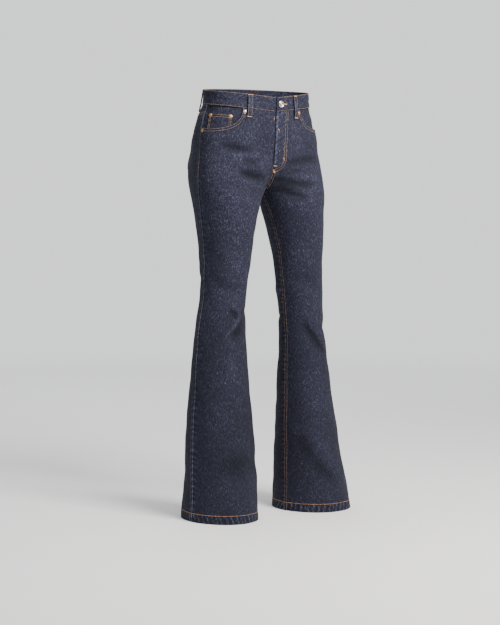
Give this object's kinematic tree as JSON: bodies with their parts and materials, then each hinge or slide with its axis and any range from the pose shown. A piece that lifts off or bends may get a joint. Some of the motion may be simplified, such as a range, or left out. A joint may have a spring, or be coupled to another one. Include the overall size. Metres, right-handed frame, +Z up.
{
  "type": "bootcut jeans",
  "caption": "High-rise bootcut jeans in dark raw denim, filled out as worn and hollow, with a waistband, fly, pockets, yoke and flared legs.",
  "frame": {"origin": "centre of the waist opening, level with the waistband, where the wearer holds the garment up", "axes": "+Z up along the wearer; the wearer faces -Y, so the front and the fly are at -Y and the wearer's right is at -X"},
  "size_m": [0.4797, 0.2991, 1.0802],
  "materials": {
    "denim": "dark indigo raw denim twill, slubby, matt",
    "denim_inside": "paler inner face of denim twill, matt",
    "silver_metal": "satin nickel-plated button",
    "copper_metal": "satin pale copper-plated rivet"
  },
  "bodies": {
    "root": {"front_right": "denim", "front_left": "denim", "back_right": "denim", "back_left": "denim", "yoke_right": "denim", "yoke_left": "denim", "waistband": "denim", "hip_facing_right": "denim", "hip_facing_left": "denim", "coin_pocket": "denim", "back_pocket_right": "denim", "back_pocket_left": "denim", "fly_shield": "denim", "loop_front_right": "denim", "loop_front_left": "denim", "loop_side_right": "denim", "loop_side_left": "denim", "loop_back": "denim", "hem_right": "denim_inside", "hem_left": "denim_inside", "waist_button": "silver_metal", "rivet_mouth_right": "copper_metal", "rivet_mouth_left": "copper_metal", "rivet_side_right": "copper_metal", "rivet_side_left": "copper_metal", "rivet_coin_outer": "copper_metal", "rivet_coin_inner": "copper_metal"}
  },
  "joints": []
}
